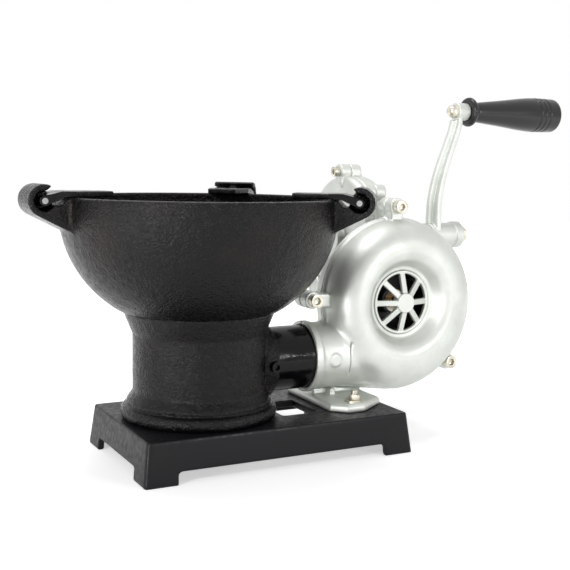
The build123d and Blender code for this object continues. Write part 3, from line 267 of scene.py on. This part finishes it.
def cast_aluminium(name, pale, dull):
    """Sand-cast aluminium: satin, a little darker in patches, with the sand's fine grain."""
    material, tree, shader, place = blank(name)
    shader.inputs["Metallic"].default_value = 0.7
    patches = add(tree, "ShaderNodeTexNoise", blobs(30 * MM, 4), Vector=place).outputs["Fac"]
    tree.links.new(ramp(tree, patches, 0.35, 0.7, pale, dull), shader.inputs["Base Color"])
    skin = add(tree, "ShaderNodeTexNoise", blobs(1.1 * MM, 2), Vector=place).outputs["Fac"]
    wave = add(tree, "ShaderNodeTexNoise", blobs(9 * MM, 2), Vector=place).outputs["Fac"]
    gloss = add(tree, "ShaderNodeMapRange", {"From Min": 0.3, "From Max": 0.7, "To Min": 0.42,
                                             "To Max": 0.54}, Value=patches)
    tree.links.new(gloss.outputs["Result"], shader.inputs["Roughness"])
    bump(tree, shader, (wave, 0.12 * MM), (skin, 0.035 * MM))
    return material


def cover_depth(across, rise):
    """How far the cover's skin stands before the parting plane: a domed scroll that runs into the outlet."""
    radius = hypot(across, rise)
    turn = (TONGUE_TURN - atan2(rise, across)) % tau
    share = turn / SCROLL_SWEEP if turn < SCROLL_SWEEP else (tau - turn) / (tau - SCROLL_SWEEP)
    rim = TONGUE_RADIUS + share * (FLOOR_RADIUS - TONGUE_RADIUS)
    out = (radius - CREST_RADIUS) / (rim - CREST_RADIUS)
    dome = tube = 0.0
    if 0 <= out < 1:
        dome = (1 - out ** SHOULDER_FULLNESS) ** (1 / SHOULDER_FULLNESS)
        dome = SHOULDER_FOOT + (CREST_DEPTH - SHOULDER_FOOT) * dome
    if across < 0 and abs(rise + OUTLET_DROP) < OUTLET_RADIUS:
        tube = (OUTLET_RADIUS ** 2 - (rise + OUTLET_DROP) ** 2) ** 0.5
    close = max(BLEND - abs(dome - tube), 0) / BLEND if dome and tube else 0.0
    return max(dome, tube) + close * close * BLEND / 4


def fill_shoulder(piece):
    """Bring the cover's front skin out to the domed scroll, and ease what moved."""
    shape = bmesh.new()
    shape.from_mesh(piece.data)
    shape.normal_update()
    rays = BVHTree.FromBMesh(shape)
    towards = Vector((0, -1, 0))
    moved = []
    for vert in shape.verts:
        place = vert.co - FAN_AXIS
        if hypot(place.x, place.z) < CREST_RADIUS or place.x < -OUTLET_RING_INNER or vert.normal.y > SKIM:
            continue
        on_step = OUTLET_STEP[0] < place.x < OUTLET_STEP[1] and vert.normal.x > 0.5
        covered = rays.ray_cast(vert.co + towards * LIFT_OFF, towards)[0] is not None
        if covered and vert.normal.y > -SKIM and not on_step:
            continue
        depth = cover_depth(place.x, place.z)
        if depth > -place.y:
            moved.append((vert, depth))
    for vert, depth in moved:
        vert.co.y = FAN_AXIS.y - depth
    for _ in range(EASE_PASSES):
        bmesh.ops.smooth_vert(shape, verts=[vert for vert, _ in moved], factor=0.5,
                              use_axis_x=True, use_axis_y=True, use_axis_z=True)
    shape.to_mesh(piece.data)
    shape.free()


aluminium = cast_aluminium("tumbled_sand_cast_aluminium", ALUMINIUM, ALUMINIUM_DULL)
# A darker copy of the cast aluminium for the impeller: painted shade for the dark inside of the housing, not
# soot.
painted_shade_aluminium = cast_aluminium("painted_shade_cast_aluminium", "#4A4B4A", "#2E2F2E")
casting("blower_housing", 1.2 * MM, 4, aluminium, "cast_aluminium", keep=0.6)
fill_shoulder(casting("front_cover", 1.05 * MM, 5, aluminium, "cast_aluminium"))
casting("gear_case_cover", 0.9 * MM, 5, aluminium, "cast_aluminium")
casting("crank_arm", 0.55 * MM, 8, aluminium, "cast_aluminium", body="crank")
casting("tunnel_cap", 0.5 * MM, 2, aluminium, "cast_aluminium")
casting("inlet_guard", 0.5 * MM, 3, aluminium, "cast_aluminium")
# The impeller wears the darker copy of the aluminium, which is painted shade.
casting("impeller", 0.9 * MM, 2, painted_shade_aluminium, "cast_aluminium", body="fan")

# --- Screws and nuts -------------------------------------------------------------------------------------
# Bought in: socket cap screws, M8 in the cover's lugs and M6 in the gear case's, and M6 nuts on the foot, all
# zinc plated, pale and faintly yellow, with bright broken edges. The shafts, bushes and wheel are bare.
WORN = 0.8                # how much of its light a handled patch keeps
HALF, BACKWARDS = ({"operation": "MULTIPLY", 1: factor} for factor in (0.5, -1.0))


def metal(name, base, rough, grain, depth):
    """Plated or turned metal: a blurred mirror, a little darker in patches, with the tool's faint marks."""
    material, tree, shader, place = blank(name)
    shader.inputs["Metallic"].default_value = 1.0
    shader.inputs["Roughness"].default_value = rough
    marks = add(tree, "ShaderNodeTexNoise", blobs(6 * MM), Vector=place).outputs["Fac"]
    scratches = add(tree, "ShaderNodeTexNoise", blobs(grain), Vector=place).outputs["Fac"]
    darker = "#" + "".join(f"{int(int(base[i:i + 2], 16) * WORN):02X}" for i in (1, 3, 5))
    tree.links.new(ramp(tree, marks, 0.35, 0.7, base, darker), shader.inputs["Base Color"])
    bump(tree, shader, (scratches, depth))
    return material


zinc = metal("zinc_plated_steel", "#E4DFD0", 0.3, 0.8 * MM, 0.02 * MM)
bright_steel = metal("turned_steel", "#A9A9A8", 0.3, 0.5 * MM, 0.01 * MM)
bronze = metal("bearing_bronze", "#B08A55", 0.35, 0.8 * MM, 0.02 * MM)
brass = metal("plain_brass", "#C79A6A", 0.3, 0.8 * MM, 0.02 * MM)


def grown(name, *sizes):
    """A geometry tree with a named input for each size, and its two ends."""
    tree = bpy.data.node_groups.new(name, "GeometryNodeTree")
    tree.interface.new_socket("Places", in_out="INPUT", socket_type="NodeSocketGeometry")
    for size in sizes:
        tree.interface.new_socket(size, in_out="INPUT", socket_type="NodeSocketFloat")
    tree.interface.new_socket("Turn", in_out="INPUT", socket_type="NodeSocketVector")
    tree.interface.new_socket("Finish", in_out="INPUT", socket_type="NodeSocketMaterial")
    tree.interface.new_socket("Pieces", in_out="OUTPUT", socket_type="NodeSocketGeometry")
    return tree, add(tree, "NodeGroupInput").outputs, add(tree, "NodeGroupOutput")


def bar(tree, sides, radius, length, foot=None):
    """A closed bar of so many sides that stands on foot, or on its place, along Z."""
    shape = add(tree, "GeometryNodeMeshCylinder", {"Vertices": sides}, Radius=radius, Depth=length)
    half = add(tree, "ShaderNodeMath", HALF, n0=length).outputs["Value"]
    level = half if foot is None else add(tree, "ShaderNodeMath", n0=half, n1=foot).outputs["Value"]
    up = add(tree, "ShaderNodeCombineXYZ", Z=level).outputs["Vector"]
    stood = add(tree, "GeometryNodeTransform", Geometry=shape.outputs["Mesh"], Translation=up)
    return stood.outputs["Geometry"]


def less(tree, body, *cuts):
    """A closed body with closed cuts taken out of it."""
    made = add(tree, "GeometryNodeMeshBoolean", {"operation": "DIFFERENCE", "solver": "EXACT"}, n0=body)
    for cut in cuts:
        tree.links.new(cut, made.inputs[1])
    return made.outputs["Mesh"]


def set_out(tree, sizes, end, piece):
    """Put the piece on every place, turned to its axis, as real faces in its finish."""
    stood = add(tree, "GeometryNodeInstanceOnPoints", Points=sizes["Places"], Instance=piece,
                Rotation=sizes["Turn"])
    real = add(tree, "GeometryNodeRealizeInstances", Geometry=stood.outputs["Instances"]).outputs["Geometry"]
    done = add(tree, "GeometryNodeSetMaterial", Geometry=real, Material=sizes["Finish"]).outputs["Geometry"]
    tree.links.new(done, end.inputs["Pieces"])


def cap_screws():
    """Round head with a hexagon key's socket half its depth, on a plain shank that reaches back."""
    tree, sizes, end = grown("cap_screws", "Head Radius", "Head Height", "Key Radius", "Shank Radius",
                             "Reach")
    head = bar(tree, 48, sizes["Head Radius"], sizes["Head Height"])
    key_floor = add(tree, "ShaderNodeMath", HALF, n0=sizes["Head Height"]).outputs["Value"]
    key = bar(tree, 6, sizes["Key Radius"], sizes["Head Height"], key_floor)
    back = add(tree, "ShaderNodeMath", BACKWARDS, n0=sizes["Reach"]).outputs["Value"]
    shank = bar(tree, 24, sizes["Shank Radius"], sizes["Reach"], back)
    both = add(tree, "GeometryNodeJoinGeometry")
    for part in (less(tree, head, key), shank):
        tree.links.new(part, both.inputs["Geometry"])
    set_out(tree, sizes, end, both.outputs["Geometry"])
    return tree


def hex_nuts():
    """A plain hexagon with its bore right through."""
    tree, sizes, end = grown("hex_nuts", "Corner Radius", "Height", "Bore Radius")
    body = bar(tree, 6, sizes["Corner Radius"], sizes["Height"])
    set_out(tree, sizes, end, less(tree, body, bar(tree, 32, sizes["Bore Radius"], sizes["Height"])))
    return tree


def set_screws(name, node, tree, places, material, slot_name, **sizes):
    """Run a tree on its places, break the edges of what it makes, and let that stand for the node."""
    mesh = bpy.data.meshes.new(name)
    mesh.from_pydata(places, [], [])
    piece = linked(name, mesh)
    nodes = piece.modifiers.new("grown", "NODES")
    nodes.node_group = tree
    given = {"Finish": material, **{label.replace("_", " "): size for label, size in sizes.items()}}
    for socket in tree.interface.items_tree:
        if socket.name in given:
            nodes[socket.identifier] = given[socket.name]
    edge = piece.modifiers.new("edge", "BEVEL")
    edge.width, edge.segments, edge.limit_method = BROKEN_EDGE, 2, "ANGLE"
    bake(piece, CREASE)
    dress(piece, "stand", material, slot_name, node)


BROKEN_EDGE = 0.35 * MM
CREASE = radians(40)
TOWARDS_INLET, TOWARDS_BOWL = (radians(90), 0, 0), (0, radians(-90), 0)
LUG_CIRCLE, LUG_DEPTH = 92.3 * MM, 12 * MM
LUG_TURNS = (radians(90), radians(177), radians(315))
CASE_AXIS = FAN_AXIS + Vector((0, 73, 57)) * MM
CASE_SEAT = BASE_MIDDLE.x + 134 * MM
CASE_LUG_CIRCLE = 68 * MM
CASE_LUG_TURNS = [radians(turn) for turn in (90, 135, 30, -20)]

cover_places = [(FAN_AXIS.x + LUG_CIRCLE * cos(turn), FAN_AXIS.y - LUG_DEPTH,
                 FAN_AXIS.z + LUG_CIRCLE * sin(turn)) for turn in LUG_TURNS]
case_places = [(CASE_SEAT, CASE_AXIS.y + CASE_LUG_CIRCLE * cos(turn),
                CASE_AXIS.z + CASE_LUG_CIRCLE * sin(turn)) for turn in CASE_LUG_TURNS]
screw_tree = cap_screws()
set_screws("cover_cap_screws", "housing_screws", screw_tree, cover_places, zinc, "plated_steel",
           Turn=TOWARDS_INLET, Head_Radius=6.5 * MM, Head_Height=8 * MM, Key_Radius=3.46 * MM,
           Shank_Radius=4 * MM, Reach=21 * MM)
set_screws("case_cap_screws", "gear_cover_screws", screw_tree, case_places, zinc, "plated_steel",
           Turn=TOWARDS_BOWL, Head_Radius=5 * MM, Head_Height=6 * MM, Key_Radius=2.89 * MM,
           Shank_Radius=3 * MM, Reach=21 * MM)
FOOT_NUT_ACROSS, FOOT_NUT_ASIDE, FOOT_NUT_SEAT = 88 * MM, 43 * MM, 46.7 * MM
foot_places = [(BASE_MIDDLE.x + FOOT_NUT_ACROSS, BASE_MIDDLE.y + side * FOOT_NUT_ASIDE, FOOT_NUT_SEAT)
               for side in (-1, 1)]
set_screws("foot_hex_nuts", "foot_nuts", hex_nuts(), foot_places, zinc, "plated_steel",
           Turn=(0, 0, 0), Corner_Radius=5.77 * MM, Height=5 * MM, Bore_Radius=3.02 * MM)


def keep_node(name, material):
    """Give a node whose own shape is right its finish."""
    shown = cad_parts[name]
    shown.data.materials.clear()
    shown.data.materials.append(material)


for name in ("pedestal_bolts", "foot_bolts", "foot_washers", "impeller_washer", "crank_nut", "spindle_nut"):
    keep_node(name, zinc)
for name in ("pot_rest_pins", "fan_shaft", "worm", "crank_shaft", "grip_spindle"):
    keep_node(name, bright_steel)
for name in ("fan_bushes", "crank_bushes", "worm_wheel"):
    keep_node(name, bronze)
keep_node("impeller_nut", brass)
keep_node("pipe_set_screw", gloss_black)

# --- Handle ----------------------------------------------------------------------------------------------
# Turned from black phenolic resin to a satin gloss, with faint streaks along it and three cut grooves near
# its end. It turns freely on the steel spindle that the crank arm holds.
RESIN_BLACK = "#121214"
STREAK = (0.06, 1, 1)     # the streaks are about sixteen times as long as they are wide


def phenolic():
    """Turned phenolic: nearly black, softly shining, streaked lengthwise by the lathe and the filler."""
    material, tree, shader, place = blank("turned_black_phenolic")
    shader.inputs["Roughness"].default_value = 0.26
    shader.inputs["Base Color"].default_value = colour(RESIN_BLACK)
    along = add(tree, "ShaderNodeMapping", {"Scale": STREAK}, Vector=place).outputs["Vector"]
    streaks = add(tree, "ShaderNodeTexNoise", blobs(0.9 * MM), Vector=along).outputs["Fac"]
    bump(tree, shader, (streaks, 0.05 * MM))
    return material


casting("crank_grip", 0.6 * MM, 2, phenolic(), "black_grip", body="grip")

# --- Studio ----------------------------------------------------------------------------------------------
# A white sweep that glows into the white background with distance, lit by four round lamps: from the left,
# from low at the left, from the right and from above.
WHITE, SWEEP = "#FFFFFF", "#F4F4F4"
ROOM_LIGHT = 0.45         # how bright the room is for matt surfaces; it looks white all the same
FLOOR = 6.0
NEAR_FLOOR, FAR_FLOOR = 0.45, 1.1
NEAR_GLOW = 0.5
AIM = Vector((0.05, 0, 0.15))
LAMPS = {"lamp_left": ((-1.6, -0.9, 0.9), 0.2, 9), "lamp_right": ((0.6, -1.6, 0.5), 0.2, 5),
         "lamp_low": ((-1.3, -0.55, 0.12), 0.2, 5), "lamp_top": ((-0.3, 0.2, 1.7), 0.5, 9)}


def seen_white(tree):
    """One for the rays that show the background itself: from the camera, off metal and through glass."""
    path = add(tree, "ShaderNodeLightPath")
    shown = add(tree, "ShaderNodeMath", {"operation": "MAXIMUM"}, n0=path.outputs["Is Camera Ray"],
                n1=path.outputs["Is Glossy Ray"]).outputs["Value"]
    return add(tree, "ShaderNodeMath", {"operation": "MAXIMUM"}, n0=shown,
               n1=path.outputs["Is Transmission Ray"]).outputs["Value"]


def studio():
    """Set up the background, the floor and the lamps."""
    bpy.context.scene.view_settings.view_transform = "Standard"
    world = bpy.data.worlds.new("studio")
    bpy.context.scene.world = world
    world.use_nodes = True
    tree = world.node_tree
    sky = tree.nodes["Background"]
    sky.inputs["Color"].default_value = colour(WHITE)
    level = add(tree, "ShaderNodeMapRange", {"To Min": ROOM_LIGHT, "To Max": 1.0}, Value=seen_white(tree))
    tree.links.new(level.outputs["Result"], sky.inputs["Strength"])

    mesh = bpy.data.meshes.new("floor")
    half = FLOOR / 2
    corners = [(-half, -half, 0), (half, -half, 0), (half, half, 0), (-half, half, 0)]
    mesh.from_pydata(corners, [], [(0, 1, 2, 3)])
    floor = linked("floor", mesh)
    material, tree, shader, place = blank("white_sweep")
    shader.inputs["Base Color"].default_value = colour(SWEEP)
    shader.inputs["Roughness"].default_value = 0.9
    shader.inputs["Specular IOR Level"].default_value = 0.1
    away = add(tree, "ShaderNodeVectorMath", {"operation": "LENGTH"}, n0=place).outputs["Value"]
    glow = add(tree, "ShaderNodeMapRange", {"From Min": NEAR_FLOOR, "From Max": FAR_FLOOR,
                                            "To Min": NEAR_GLOW, "To Max": 1.0}, Value=away).outputs["Result"]
    strength = add(tree, "ShaderNodeMath", {"operation": "MULTIPLY"}, n0=glow, n1=seen_white(tree))
    shader.inputs["Emission Color"].default_value = colour(WHITE)
    tree.links.new(strength.outputs["Value"], shader.inputs["Emission Strength"])
    floor.data.materials.append(material)

    for name, (place, size, watts) in LAMPS.items():
        lamp = linked(name, bpy.data.lights.new(name, "AREA"))
        lamp.data.shape, lamp.data.size, lamp.data.energy = "DISK", size, watts
        lamp.location = place
        lamp.rotation_euler = (AIM - Vector(place)).to_track_quat("-Z", "Y").to_euler()


studio()
